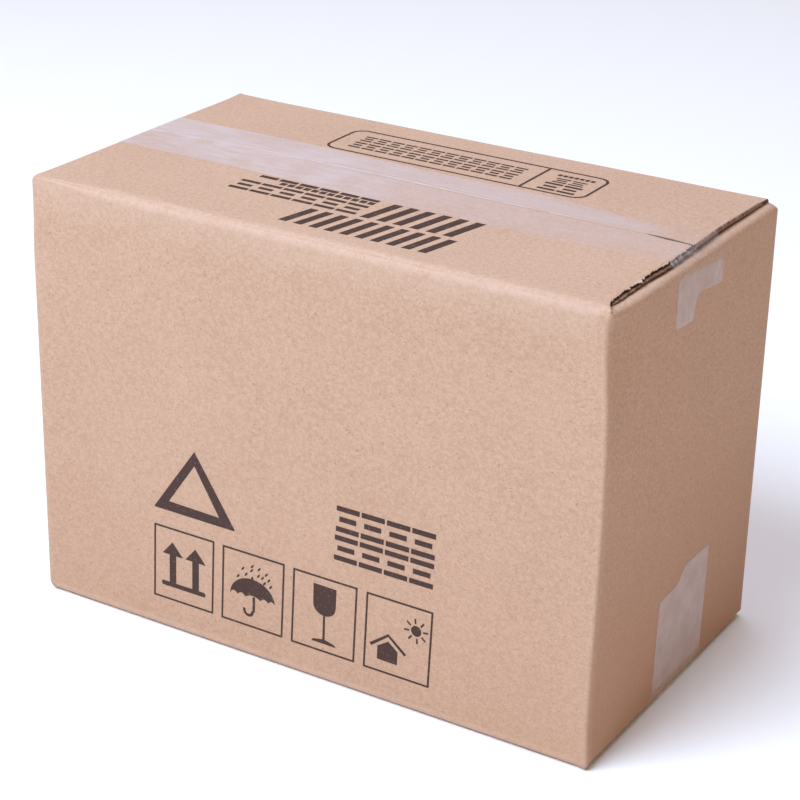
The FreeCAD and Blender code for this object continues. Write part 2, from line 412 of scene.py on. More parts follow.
def dome_point(first, second, part, station, depth):
    """A point over a corner of the box, where the board between two folds is crushed shut."""
    x_edge = math.copysign(FLAP_END, SIDES[second][0].x)
    y_edge = math.copysign(SIDE_END, SIDES[first][0].y)
    is_open = (first, second) == OPEN_CORNER and station[0].startswith("top")
    if part == 0 and not is_open:
        return across(first, x_edge, station, depth)
    if part == 1:
        return across(second, y_edge, station, depth)
    name, value = station
    where = name.split("_")[0]
    if name.endswith("flap"):
        last = (name, CLOSED_FLAP)
        start = dome_point(first, second, part, (where + "_arc", 90), depth)
        under = depth + BOARD + OPEN_GAP if is_open else depth
        goal = across(first, x_edge, last, under).lerp(across(second, y_edge, last, depth), part)
        return start.lerp(goal, value / CLOSED_FLAP)
    share = 1.0 if is_open else ramp(part, *CRUSH_BLEND)
    top = where == "top"
    sink = CORNERS[first, second][2] * math.sin(math.pi * part) ** 2 if top else 0.0
    pair = zip(fold_size(first, x_edge, top), fold_size(second, y_edge, top))
    level, bend = (a + (b - a) * share for a, b in pair)
    turn = math.radians(value)
    drop = (bend - sink) * (1 - math.sin(turn)) + sink
    z = level - drop if top else level + drop
    place, normal, radius, strip_share = corner_line(first, second, part, z)
    room = BEND_ROOM * radius
    depth_in = min(bend, room + max(0.0, bend - room) * strip_share)
    place -= normal * depth_in * (1 - math.cos(turn))
    tilt = normal * math.cos(turn) + UP * (math.sin(turn) if top else -math.sin(turn))
    return settled(place, tilt, depth)


def tab_point(part, z, depth):
    """A point of the glued tab: round the back left corner, then flat inside the left wall."""
    face = HALF_LENGTH - BOARD - TAB_GAP
    radius = face - FLAP_END
    if part <= 1:
        turn = part * math.pi / 2
        normal = Vector((-math.sin(turn), math.cos(turn), 0))
        place = Vector((radius - face, HALF_WIDTH - radius, z)) + normal * radius
    else:
        normal = -X
        place = Vector((-face, HALF_WIDTH - radius - TAB_FLAT * (part - 1), z))
    return settled(place, normal, depth)


class Sheet:
    """Collects grids of points into one mesh, welded where they meet."""

    def __init__(self):
        self.mesh = bmesh.new()
        # Per point: wear and painted highlight on the board's folds, painted shade on its cut ends, and
        # haze of the film
        self.wear_shading_haze = self.mesh.verts.layers.float.new("wear_shading_haze")

    def grid(self, rows, material=FACE, wear_shading_haze=None):
        made = []
        for i, row in enumerate(rows):
            line = []
            for j, place in enumerate(row):
                vertex = self.mesh.verts.new(place * MM)
                vertex[self.wear_shading_haze] = wear_shading_haze[i][j] if wear_shading_haze else 0.0
                line.append(vertex)
            made.append(line)
        for low, high in zip(made, made[1:]):
            for k in range(len(low) - 1):
                face = self.mesh.faces.new((low[k], low[k + 1], high[k + 1], high[k]))
                face.material_index = material
                face.smooth = True

    def finish(self, name, materials, sharp=40):
        bmesh.ops.remove_doubles(self.mesh, verts=self.mesh.verts, dist=WELD)
        bmesh.ops.recalc_face_normals(self.mesh, faces=self.mesh.faces)
        data = bpy.data.meshes.new(name)
        self.mesh.to_mesh(data)
        self.mesh.free()
        data.set_sharp_from_angle(angle=math.radians(sharp))
        for material in materials:
            data.materials.append(material)
        return add_object(name, data)


def thick_grid(sheet, outer, inner, wear_shading_haze=None, closed=()):
    """Adds both faces of some board, and its cut edges on the named sides."""
    sheet.grid(outer, wear_shading_haze=wear_shading_haze)
    sheet.grid(inner)
    if "start" in closed:
        sheet.grid([outer[0], inner[0]], CUT)
    if "stop" in closed:
        sheet.grid([outer[-1], inner[-1]], CUT)
    if "high" in closed:
        edge = [[row[-1] for row in outer], [row[-1] for row in inner]]
        sheet.grid(edge, CUT, [[RAW_SHADE] * len(outer)] * 2)


def add_strip(sheet, side):
    """One wall with its two flaps."""
    kind = KIND[side]
    half = FLAP_END if kind == "major" else SIDE_END
    inner_lines = steps(-half + SECOND_LINE, half - SECOND_LINE, STRIP_LINES[kind])
    lines = [-half, -half + FIRST_LINE] + inner_lines + [half - FIRST_LINE, half]
    path = stations()
    outer = [[across(side, x, station) for x in lines] for station in path]
    inner = [[across(side, x, station, BOARD) for x in lines] for station in path]
    wear_shading_haze = [[FOLD_WEAR_HIGHLIGHT[kind] * fold_wear_highlight(station)] * len(lines) for station in path]
    thick_grid(sheet, outer, inner, wear_shading_haze, closed=("start", "stop"))
    for column in (0, -1):
        slot_open = side == OPEN_CORNER[0] and column == -1
        for k in range(len(path) - 1):
            pair = path[k:k + 2]
            past_corner = any(name.endswith("flap") and value > CLOSED_FLAP for name, value in pair)
            over_top_fold = all(name.startswith("top") for name, value in pair)
            if past_corner or slot_open and over_top_fold:
                sheet.grid([[outer[k][column], outer[k + 1][column]],
                            [inner[k][column], inner[k + 1][column]]], CUT)


# Wear and a painted highlight band on a level fold
def fold_wear_highlight(station):
    name, value = station
    if name.endswith("arc"):
        return 1 - abs(value - WEAR_HIGHLIGHT_ANGLE) / WEAR_HIGHLIGHT_SPREAD
    if name.endswith("flap"):
        return max(0.0, FLAP_WEAR_HIGHLIGHT - FLAP_WEAR_HIGHLIGHT_FADE * value)
    return WALL_WEAR_HIGHLIGHT * ramp(value, *WALL_WEAR_HIGHLIGHT_SPAN)


def dome_rows(first, second, parts, top, depth):
    return [[dome_point(first, second, part, station, depth) for part in parts]
            for station in fold_stations(top)]


def add_corner(sheet, first, second):
    """The upright fold between two walls, with the crushed corners at its ends."""
    parts = steps(0, 1, CORNER_STEPS)
    faces = []
    for depth in (0.0, BOARD):
        rows = dome_rows(first, second, parts, False, depth)[::-1]
        rows += [[corner_point(first, second, part, z, depth) for part in parts] for z in WALL_STOPS]
        faces.append(rows + dome_rows(first, second, parts, True, depth))
    # Wear and a painted highlight round the upright fold
    amount, centre = UPRIGHT_WEAR_HIGHLIGHT.get((first, second), PLAIN_WEAR_HIGHLIGHT)
    rubbed_and_lit = [amount * max(0.0, 1 - abs(part - centre) * WEAR_HIGHLIGHT_FADE) for part in parts]
    thick_grid(sheet, *faces, [rubbed_and_lit] * len(faces[0]), closed=("start", "stop"))


def add_glued_corner(sheet):
    """The tab, the left wall's raw edge over it, and the two crushed corners."""
    def raw_point(y, z, depth):
        return on_wall("left", y, z, -depth)

    for point, stops in ((tab_point, steps(0, 1, TAB_STEPS) + TAB_STOPS), (raw_point, RAW_STOPS)):
        faces = [[[point(stop, z, depth) for stop in stops] for z in WALL_STOPS]
                 for depth in (0.0, BOARD)]
        thick_grid(sheet, *faces, closed=("start", "stop", "high"))
    parts = steps(0, 1, CORNER_STEPS)
    for top, wall_end in ((True, HIGH), (False, LOW)):
        faces = []
        for depth in (0.0, BOARD):
            rows = [[corner_point(*GLUED_CORNER, part, wall_end, depth) for part in parts]]
            faces.append(rows + dome_rows(*GLUED_CORNER, parts, top, depth))
        thick_grid(sheet, *faces, closed=("start", "stop"))


def mottle(y, depth):
    """Uneven shade along a cut end."""
    return 0.1 + ramp(wave(y, 9, depth, 0.9) + 0.6 * wave(y, 4, depth, 0.5), -0.25, 0.3)


def add_ledge(sheet, side, top, right, ledge):
    """One layer of a long flap's cut end, out past the fluting, which is painted dark, and torn a
    little.
    """
    first, last, share, ragged, material, shade = ledge
    sign = 1 if right else -1
    half = sign * FLAP_END
    name = "top_flap" if top else "foot_flap"
    rows, wear_shading_haze = [], []
    for q in steps(CLOSED_FLAP, 1.0, LEDGE_STEPS):
        root = across(side, half, (name, q), first)
        under = across(side, half, (name, q), last)
        jag = wave(root.y, 3, first, 1.9) + 0.7 * wave(root.y, 5, first, 0.8)
        torn = hump(root.y - TORN_AT, TORN_ROUND) if material == FACE and top and right else 0.0
        length = share * recess(side, q, half)
        length -= ragged * (0.35 - 0.75 * jag) * ramp(q, CLOSED_FLAP, 2 * CLOSED_FLAP)
        length += torn * (1.1 + 0.8 * jag)
        droop = 0.25 * ragged * (1 + jag) if top and first == 0 else 0
        out = Vector((sign * length, 0, -droop))
        rows.append([root, root + out, under + out, under])
        if material == FACE:
            pale = ragged * max(0.0, jag) + TORN_WEAR * torn
            wear_shading_haze.append([0.0, pale, pale, 0.0])
        else:
            # Painted shade: darker inside under the layer above, lighter on its outer face, mottled
            # along it
            spots = mottle(root.y, first)
            inner_shade = 0.4 * shade * spots
            wear_shading_haze.append([inner_shade, shade * spots, shade * (0.7 + 0.7 * spots), inner_shade])
    sheet.grid(rows, material, wear_shading_haze)


def make_board(materials):
    sheet = Sheet()
    for side in SIDES:
        add_strip(sheet, side)
    for corner in CORNERS:
        if corner != GLUED_CORNER:
            add_corner(sheet, *corner)
    add_glued_corner(sheet)
    for side, top, right in product(("front", "back"), (True, False), (True, False)):
        for ledge in LEDGES[side] if top and right else PLAIN_LEDGES:
            add_ledge(sheet, side, top, right, ledge)
    return sheet.finish("carton_board", materials)


# The two tapes

# Edges of the tapes, across the box by x
TOP_TAPE_FRONT = [(-134, -18.0), (-56, -20.3), (0, -22.4), (64, -22.4), (134, -21.6)]
TOP_TAPE_BACK = [(-134, 25.2), (-56, 23.2), (0, 20.8), (64, 20.8), (110, 21.6), (134, 20.8)]
BOTTOM_TAPE = (-17.5, 28.5)
BOTTOM_TAIL_DRIFT = 0.035

# Torn ends on the right, height by y, and the cut teeth of the tails on the left
TOP_TEAR = [(-21.6, 168.2), (-19, 166.6), (-12, 166.0), (-5.2, 165.7), (-4.6, 167.0), (-4.1, 170.4),
            (-3.3, 173.9), (-1.0, 175.3), (1.7, 175.6), (9, 174.6), (20.8, 173.7)]
BOTTOM_TEAR = [(-17, 48.0), (-2, 48.6), (0, 49.6), (2, 52.5), (4, 54.2), (8, 54.7), (29.5, 54.5)]
TAIL_LEFT = 48.0
SAW_DEPTH = 0.5
SAW_TEETH = 0.8

# Points of film: columns across it, and rows on its left tail, the box and its right tail
FILM_COLUMNS = 110
LEFT_ROWS = 24
BOX_ROWS = 260
RIGHT_ROWS = 30
BEND_STEPS = 8
LAST_ROW_BACK = 0.6

# The film's levels under the box, and its room round the flaps' ends
FILM_FOOT = 0.04
FOOT_EDGE = 0.05
END_ROOM = 0.1

# Raised lines of the film: height, how far behind the seam and width
RIDGE = (0.32, 0.4, 0.7)
WRINKLE = (0.16, 2.2, 0.4)
WRINKLE_SLANT = 0.03
WRINKLE_MIDDLE = -34
RIDGE_STOPS = (96, 110)

# A wrinkle across the top tape's right tail: height, half width, place and direction
TAIL_WRINKLE = 0.1
TAIL_WRINKLE_WIDTH = 0.7
TAIL_WRINKLE_AT = (-10, 181)
TAIL_WRINKLE_WAY = (0.78, 0.62)

# Haze of the film, from 0 (clear) to 1 (cloudy)
CLEAR = 0.03
FRONT_HAZE = 0.82
BACK_HAZE = 0.88
# Extra haze on the raised line: a painted highlight
RIDGE_HIGHLIGHT = 0.6
BAND_EDGE = [(20, 21.0), (60, 19.0), (80, 16.5), (118, 11.0)]
LEFT_BRIDGE_HAZE = 0.12
VEIL_FRONT = 0.30
VEIL_BACK = 0.10
TAIL_HAZE = 0.5
TAIL_TOP = 188.2
TAIL_TOP_SLANT = 0.085
BOTTOM_TAIL_HAZE = 0.66
BOTTOM_HAZE = 0.5


def tape_edges(x, top):
    if not top:
        return BOTTOM_TAPE
    return along_points(TOP_TAPE_FRONT, x), along_points(TOP_TAPE_BACK, x)


def seam_ridge(x, y):
    """The film's raised line over the seam, with a second wrinkle along its middle stretch."""
    from_seam = y - seam(x)
    height, place, width = RIDGE
    first = height * (0.75 + 0.5 * wave(x, 0, 0, 25.0)) * hump(from_seam - place, width)
    height, place, width = WRINKLE
    second = height * hump(from_seam - place + WRINKLE_SLANT * (x - WRINKLE_MIDDLE), width)
    second *= ramp(x, -44, -30) * (1 - ramp(x, 12, 26))
    return (first + second) * (1 - ramp(x, *RIDGE_STOPS))


def film_bend(y, top, right):
    """The film from a long flap's end to the end wall, as points across and up."""
    sign = 1 if right else -1
    if top:
        side = "front" if y < seam(sign * HALF_LENGTH) else "back"
        q = (HALF_WIDTH + (y if side == "front" else -y)) / HALF_WIDTH
        out = FLAP_END + end_shift(side, min(q, 1.0), sign) + END_ROOM
        edge = Vector((out, top_level(sign * FLAP_END, y) + FILM_LIFT))
        centre = Vector((HALF_LENGTH - MINOR_BEND, MINOR_LEVEL - MINOR_BEND))
    else:
        edge = Vector((FLAP_END, FOOT_EDGE))
        centre = Vector((HALF_LENGTH - MINOR_FOOT_BEND, MINOR_FOOT + MINOR_FOOT_BEND))
    radius = (MINOR_BEND if top else MINOR_FOOT_BEND) + FILM_LIFT
    way = centre - edge
    turn = -math.copysign(1, way.y)
    slant = math.atan2(way.y, way.x) + turn * math.asin(radius / way.length)
    free = math.sqrt(way.length_squared - radius**2)
    touch = edge + ray(slant) * free
    start = math.atan2(touch.y - centre.y, touch.x - centre.x)
    line = [edge.lerp(touch, part) for part in (0.0, 0.25, 0.5, 0.75)]
    round_off = [centre + ray(start * (1 - part)) * radius for part in steps(0, 1, BEND_STEPS)]
    return [bend_place(sign * flat.x, y, flat.y) for flat in line + round_off]


def bend_place(x, y, z):
    """A point of the film that follows the end wall's dents more the nearer it is to it."""
    place = Vector((x, y, z))
    side = Vector((math.copysign(1, x), 0, 0))
    return place - side * dent(place) * ramp(abs(x), FLAP_END, HALF_LENGTH)


def film_column(part, top):
    """One line of film from its left tail to its right tail. part is 0 at the front edge."""
    def y_at(x):
        low, high = tape_edges(x, top)
        return low + (high - low) * part
    y = y_at(-HALF_LENGTH)
    slot_z = MINOR_LEVEL - MINOR_BEND if top else MINOR_FOOT + MINOR_FOOT_BEND
    saw = SAW_DEPTH * abs((y * SAW_TEETH) % 1 - 0.5)
    tail = BOX_TOP - TAIL_LEFT + saw if top else TAIL_LEFT - saw
    points = [on_wall("left", y, z, FILM_LIFT) for z in steps(tail, slot_z, LEFT_ROWS)[:-1]]
    points += film_bend(y, top, False)[::-1]
    for x in steps(-FLAP_END, FLAP_END - LAST_ROW_BACK, BOX_ROWS):
        y = y_at(x)
        if top:
            points.append(on_top(x, y, FILM_LIFT + seam_ridge(x, y)))
        else:
            points.append(Vector((x, y, FILM_FOOT)))
    y = y_at(HALF_LENGTH)
    points += film_bend(y, top, True)
    end = along_points(TOP_TEAR if top else BOTTOM_TEAR, y)
    for z in steps(slot_z, end, RIGHT_ROWS)[1:]:
        drift = 0.0 if top else (z - slot_z) * BOTTOM_TAIL_DRIFT
        lift = FILM_LIFT + tail_wrinkle(y, z, top)
        points.append(on_wall("right", y + drift, z, lift))
    return points


def tail_wrinkle(y, z, top):
    if not top:
        return 0.0
    (at_y, at_z), (way_y, way_z) = TAIL_WRINKLE_AT, TAIL_WRINKLE_WAY
    from_line = (y - at_y) * way_y + (z - at_z) * way_z
    height = TAIL_WRINKLE * hump(from_line, TAIL_WRINKLE_WIDTH)
    return height * ramp(z, 172, 175) * (1 - ramp(z, 180, 183))


def tail_haze(y, z, cloud, right):
    """How cloudy the top film's tails are: clear over the fold and along the right one's edges."""
    limit = TAIL_TOP - TAIL_TOP_SLANT * (y + 21)
    stuck = 1 - ramp(z, limit - 2.2, limit)
    front, back = tape_edges(HALF_LENGTH, True)
    from_edge = min(y - front, back - y) if right else 5.0
    return (TAIL_HAZE + 0.28 * cloud) * stuck * ramp(from_edge, 0.0, 1.6) + CLEAR


def bridge_haze(x, y, z, cloud):
    """A veil where the film bridges from the flaps' right ends to the end wall, with specks of haze
    painted as the glints of its crinkles.
    """
    near_edge = 1 - ramp(x, 131.0, 132.5)
    # Specks of haze painted as glints of the crinkled film
    speck_glint = ramp(wave(x * 1.5, y, z, 1.1, 4.0), 0.0, 0.5)
    veil = VEIL_FRONT if y < 1 else VEIL_BACK
    return veil * (0.1 + 0.4 * cloud + 1.5 * speck_glint) * near_edge + CLEAR


def front_haze(x, from_seam, cloud):
    """In front of the seam: less to the right, with a clear line beside the seam as a painted shadow of
    the raised line.
    """
    base = FRONT_HAZE - 0.42 * ramp(x, -30, 30) - 0.12 * ramp(x, 60, 118)
    # Clearer film in a line in front of the raised line: a painted shadow
    base *= 1 - 0.75 * hump(from_seam + 0.9, 0.7) * ramp(x, -60, -10)
    return base * (0.5 + 0.7 * cloud) * (1 - 0.3 * ramp(-from_seam, 12, 20) * ramp(x, 30, 90))


def back_haze(x, from_seam, cloud):
    """Behind the seam: a cloudy band that narrows to the right, with a painted highlight on the raised
    line.
    """
    base = BACK_HAZE - 0.2 * ramp(x, -40, 0)
    limit = along_points(BAND_EDGE, x)
    fade = 1 - ramp(from_seam, limit - 3, limit) * ramp(x, 10, 50)
    fade *= 1 - 0.5 * hump(from_seam - 2.0, 0.6) * ramp(x, -60, -10)
    # Painted highlight along the raised line
    ridge = RIDGE_HIGHLIGHT * hump(from_seam - RIDGE[1], 0.8) * (1 - ramp(x, 60, 100))
    return base * (0.72 + 0.4 * cloud) * fade * (1 - 0.9 * ramp(x, 102, 122)) + ridge


def top_haze(place):
    """How cloudy the top film is: air under it on the left, well stuck towards the right front."""
    x, y, z = place
    cloud = 0.5 + 0.5 * wave(x, y, z, 14.0, 2.0) + 0.45 * wave(x * 0.5, y * 1.8, z, 5.0, 3.0)
    if abs(x) > HALF_LENGTH - 1.0 and z < MINOR_LEVEL - 1:
        return tail_haze(y, z, cloud, x > 0)
    if x < -FLAP_END - 0.3:
        return LEFT_BRIDGE_HAZE
    if x > FLAP_END - 0.2:
        return bridge_haze(x, y, z, cloud)
    from_seam = y - seam(x)
    if from_seam < 0:
        return front_haze(x, from_seam, cloud)
    return back_haze(x, from_seam, cloud)


def bottom_haze(place):
    x, y, z = place
    cloud = 0.5 + 0.5 * wave(x, y, z, 12.0, 2.0)
    if abs(x) > HALF_LENGTH - 1.0:
        return (BOTTOM_TAIL_HAZE + 0.10 * cloud) * ramp(z, 1.0, 9.0)
    return BOTTOM_HAZE + 0.4 * cloud


def make_film(name, top, material):
    sheet = Sheet()
    columns = [film_column(part, top) for part in steps(0, 1, FILM_COLUMNS)]
    haze = top_haze if top else bottom_haze
    sheet.grid(columns, wear_shading_haze=[[haze(place) for place in column] for column in columns])
    return sheet.finish(name, [material], sharp=60)


# The printed marks

# The fitted camera: its place, its azimuth, elevation and roll in radians, and its focal length
CAMERA_PLACE = Vector((444.33, -736.36, 480.64))
CAMERA_ANGLES = (0.541553, 0.419443, 0.0214134)
FOCAL_PIXELS = 2224.475
PICTURE_PIXELS = 800
SENSOR = 36

# How far the front print leans for each millimetre of height
LEAN = 0.037

# Bars, by their pitch: what is off the ends of middle ones, and the width of slanted ones
BAR_TRIM = 0.12
SLANTED_SHARE = 0.55

# The four frames on the front: where the first one is, their pitch, fall, width and line
FRAME_LEFT = -74.25
FRAME_LOW = 14.7
FRAME_HIGH = 49.6
FRAME_PITCH = 35.3
FRAME_FALL = 0.23
FRAME_WIDTH = 31.1
FRAME_LINE = 0.9


# How far the drops of rain are turned, in radians
DROP_TURN = 0.9

# The print is cut along lines this far apart, so that it follows the board
PRINT_CUT = 11.4
PRINT_CUT_SHIFT = 0.37
PRINT_CUTS = 12


def carried(x, y):
    """Slides a place measured on a level top to where the raised flap carries it."""
    measured = Vector((x, y, 0))
    found = measured
    for _ in range(4):
        dip = dent(Vector((found.x, found.y, MAJOR_LEVEL)))
        lifted = top_level(found.x, found.y) - dip - MAJOR_LEVEL
        away = found - CAMERA_PLACE
        found = measured - Vector((away.x, away.y, 0)) * lifted / (CAMERA_PLACE.z - MAJOR_LEVEL)
    return found


def box_shape(left, low, right, high, lean=0.0):
    middle = (low + high) / 2
    return [(left + lean * (low - middle), low), (right + lean * (low - middle), low),
            (right + lean * (high - middle), high), (left + lean * (high - middle), high)]


def arc(x, y, across_x, across_y, angles):
    """Points of an ellipse at some angles in degrees."""
    turns = [math.radians(angle) for angle in angles]
    return [(x + across_x * math.cos(turn), y + across_y * math.sin(turn)) for turn in turns]


def drop(x, y):
    """A slanting drop of rain."""
    turned = math.cos(DROP_TURN), math.sin(DROP_TURN)
    return [(x + px * turned[0] - py * turned[1], y + px * turned[1] + py * turned[0])
            for px, py in arc(0, 0, 1.1, 0.45, steps(0, 360, 12)[:-1])]


def rounded_box(left, low, right, high, radius):
    points = []
    for cx, cy, first in ((right - radius, high - radius, 0), (left + radius, high - radius, 90),
                          (left + radius, low + radius, 180), (right - radius, low + radius, 270)):
        points += arc(cx, cy, radius, radius, steps(first, first + 90, 7))
    return points


def bar_rows(left, low, right, high, count, gap, rows=3, lean=0.0):
    """A row of blocks of short bars, as wide and as dark as a row of print."""
    shapes = []
    pitch = (right - left + gap) / count
    middle = (low + high) / 2
    bar = (high - low) / (2 * rows - 1)
    for k, row in product(range(count), range(rows)):
        base = low + 2 * row * bar
        start = left + pitch * k + lean * (base + bar / 2 - middle)
        trim = BAR_TRIM * pitch if row == 1 else 0.0
        shapes.append([box_shape(start + trim, base, start + pitch - gap - trim, base + bar, lean)])
    return shapes


def slanted_bars(left, low, right, high, count, slant):
    shapes = []
    pitch = (right - left) / count
    for k in range(count):
        start = left + pitch * k
        stop = start + pitch * SLANTED_SHARE
        shapes.append([[(start, low), (stop, low), (stop + slant, high), (start + slant, high)]])
    return shapes


def front_marks():
    """Outlines of the marks on the front wall, each a list of one loop and its holes."""
    shapes = [[[(-51.9, 88.2), (-73.2, 57.9), (-72.9, 57.4), (-32.4, 57.2), (-32.2, 57.9)],
               [(-52.1, 81.6), (-65.6, 61.9), (-39.9, 61.3)]]]
    shapes += bar_rows(17.6, 71.9, 63.4, 83.4, 4, 0.9, 3, LEAN)
    shapes += bar_rows(16.8, 58.9, 62.9, 70.2, 4, 0.9, 3, LEAN)
    for k in range(4):
        left = FRAME_LEFT + FRAME_PITCH * k
        right = left + FRAME_WIDTH
        low, high = FRAME_LOW - FRAME_FALL * k, FRAME_HIGH - FRAME_FALL * k
        shapes.append([box_shape(left, low, right, high, LEAN),
                       box_shape(left + FRAME_LINE, low + FRAME_LINE, right - FRAME_LINE,
                                 high - FRAME_LINE, LEAN)])
    for x in (-64.3, -52.5):
        shapes.append([[(x, 42.8), (x - 5.3, 36.6), (x - 1.7, 36.6), (x - 2.0, 23.3), (x + 1.4, 23.3),
                        (x + 1.7, 36.6), (x + 5.3, 36.6)]])
    shapes.append([rounded_box(-70.5, 21.2, -47.7, 23.4, 1.0)])
    shapes += umbrella()
    shapes += goblet()
    shapes += house()
    return shapes


def umbrella():
    canopy = [(-34.9, 27.9)] + arc(-23.5, 28.0, 11.3, 9.4, steps(172, 8, 14)) + [(-12.2, 28.8)]
    ribs = (-12.2, -15.6, -19.5, -27.2, -31.0, -34.9)
    for low, high in zip(ribs, ribs[1:]):
        for part in (0.25, 0.5, 0.75, 1.0):
            arch = 1.3 * math.sin(math.pi * part)
            canopy.append((low + (high - low) * part, 28.4 + arch))
    shapes = [[canopy[:-1]], [box_shape(-24.0, 36.8, -23.0, 38.6)]]
    pole = [(-22.8, 29.2), (-22.9, 22.4)]
    hook = arc(-25.6, 22.0, 2.1, 2.1, steps(0, -180, 10))
    shapes += stroke(pole + hook + [(-27.7, 22.9)], 1.3)
    for x, z in ((-23.5, 43.4), (-20, 43), (-28.2, 41.2), (-23.8, 41.4), (-16.4, 41.5), (-20.4, 39.8),
                 (-18.3, 39.5), (-15.2, 39.2), (-26.6, 38.9), (-17.4, 37.2), (-14.3, 36.4), (-30.7, 37)):
        shapes.append([drop(x, z)])
    return shapes


def goblet():
    bowl = [(6.9, 45.2), (18.0, 45.0), (17.7, 36.4)]
    bowl += arc(12.2, 35.9, 5.4, 4.6, steps(0, -180, 12)) + [(6.8, 36.4)]
    foot = [(5.9, 18.2), (17.7, 18.1), (17.0, 19.2), (12.6, 20.2), (11.1, 20.2), (6.6, 19.3)]
    return [[bowl], [[(11.3, 19.9), (12.4, 19.9), (12.6, 31.8), (11.6, 31.8)]], [foot]]


def house():
    shapes = stroke([(34.4, 25.6), (42.8, 32.0), (50.9, 25.3)], 1.4)
    shapes.append([[(37.6, 19.8), (47.1, 19.6), (47.3, 25.6), (42.9, 29.2), (37.8, 25.9)]])
    shapes.append([arc(55.7, 38.0, 2.4, 2.4, steps(0, 360, 28)[:-1])])
    for k in range(8):
        way = ray(math.pi / 4 * k + 0.1)
        start = Vector((55.7, 38.0)) + way * 3.2
        shapes += stroke([start, start + way * 2.4], 0.8)
    return shapes


def stroke(points, width):
    """A line of even width as short four-sided shapes."""
    points = [Vector(p) for p in points]
    ends = []
    for before, place, after in zip(points[:1] + points, points, points[1:] + points[-1:]):
        way = (after - before).normalized()
        aside = Vector((-way.y, way.x)) * width / 2
        ends.append((place + aside, place - aside))
    return [[[left, right, next_right, next_left]]
            for (left, right), (next_left, next_right) in zip(ends, ends[1:])]


def top_marks():
    shapes = [[rounded_box(-56, 26, 68.5, 55.5, 6), rounded_box(-54.8, 27.2, 67.3, 54.3, 4.9)]]
    shapes.append([box_shape(38.9, 26.9, 40.1, 54.6)])
    for row in ((-47, 41.8, 32.5, 48.5, 12, 0.9), (-47, 32.3, 32.5, 39.7, 12, 0.9),
                (46, 29.3, 63, 38.5, 2, 0.9), (47.5, 39.9, 61.5, 45.6, 2, 0.9),
                (46, 47.9, 63, 50.1, 7, 0.6, 1)):
        shapes += bar_rows(*row)
    shapes += slanted_bars(-18.3, -62.3, 51.7, -44.3, 10, 3.6)
    shapes += slanted_bars(6.0, -41.5, 51.0, -21.5, 6, 4.0)
    for row in ((-57.7, -40.7, 3.2, -29.3, 6, 1.0), (-54, -23.5, 3.2, -20.9, 6, 1.2, 1),
                (-41.8, -27.3, 3.2, -24.4, 12, 0.9, 1)):
        shapes += bar_rows(*row)
    return shapes


def make_print(name, shapes, carry, material):
    """Cuts flat shapes into small faces and lays them on the board."""
    mesh = bmesh.new()
    for loops in shapes:
        corners = [[Vector((p[0], p[1], 0)) for p in loop] for loop in loops]
        flat = [p for loop in corners for p in loop]
        made = [mesh.verts.new(p) for p in flat]
        for triangle in tessellate_polygon(corners):
            mesh.faces.new([made[k] for k in triangle])
    for axis in (X, Y):
        for k in range(-PRINT_CUTS, PRINT_CUTS + 1):
            parts = mesh.verts[:] + mesh.edges[:] + mesh.faces[:]
            place = axis * (PRINT_CUT * k + PRINT_CUT_SHIFT)
            bmesh.ops.bisect_plane(mesh, geom=parts, plane_co=place, plane_no=axis)
    for vertex in mesh.verts:
        vertex.co = carry(vertex.co.x, vertex.co.y) * MM
    bmesh.ops.recalc_face_normals(mesh, faces=mesh.faces)
    data = bpy.data.meshes.new(name)
    mesh.to_mesh(data)
    mesh.free()
    data.materials.append(material)
    return add_object(name, data)


# Materials

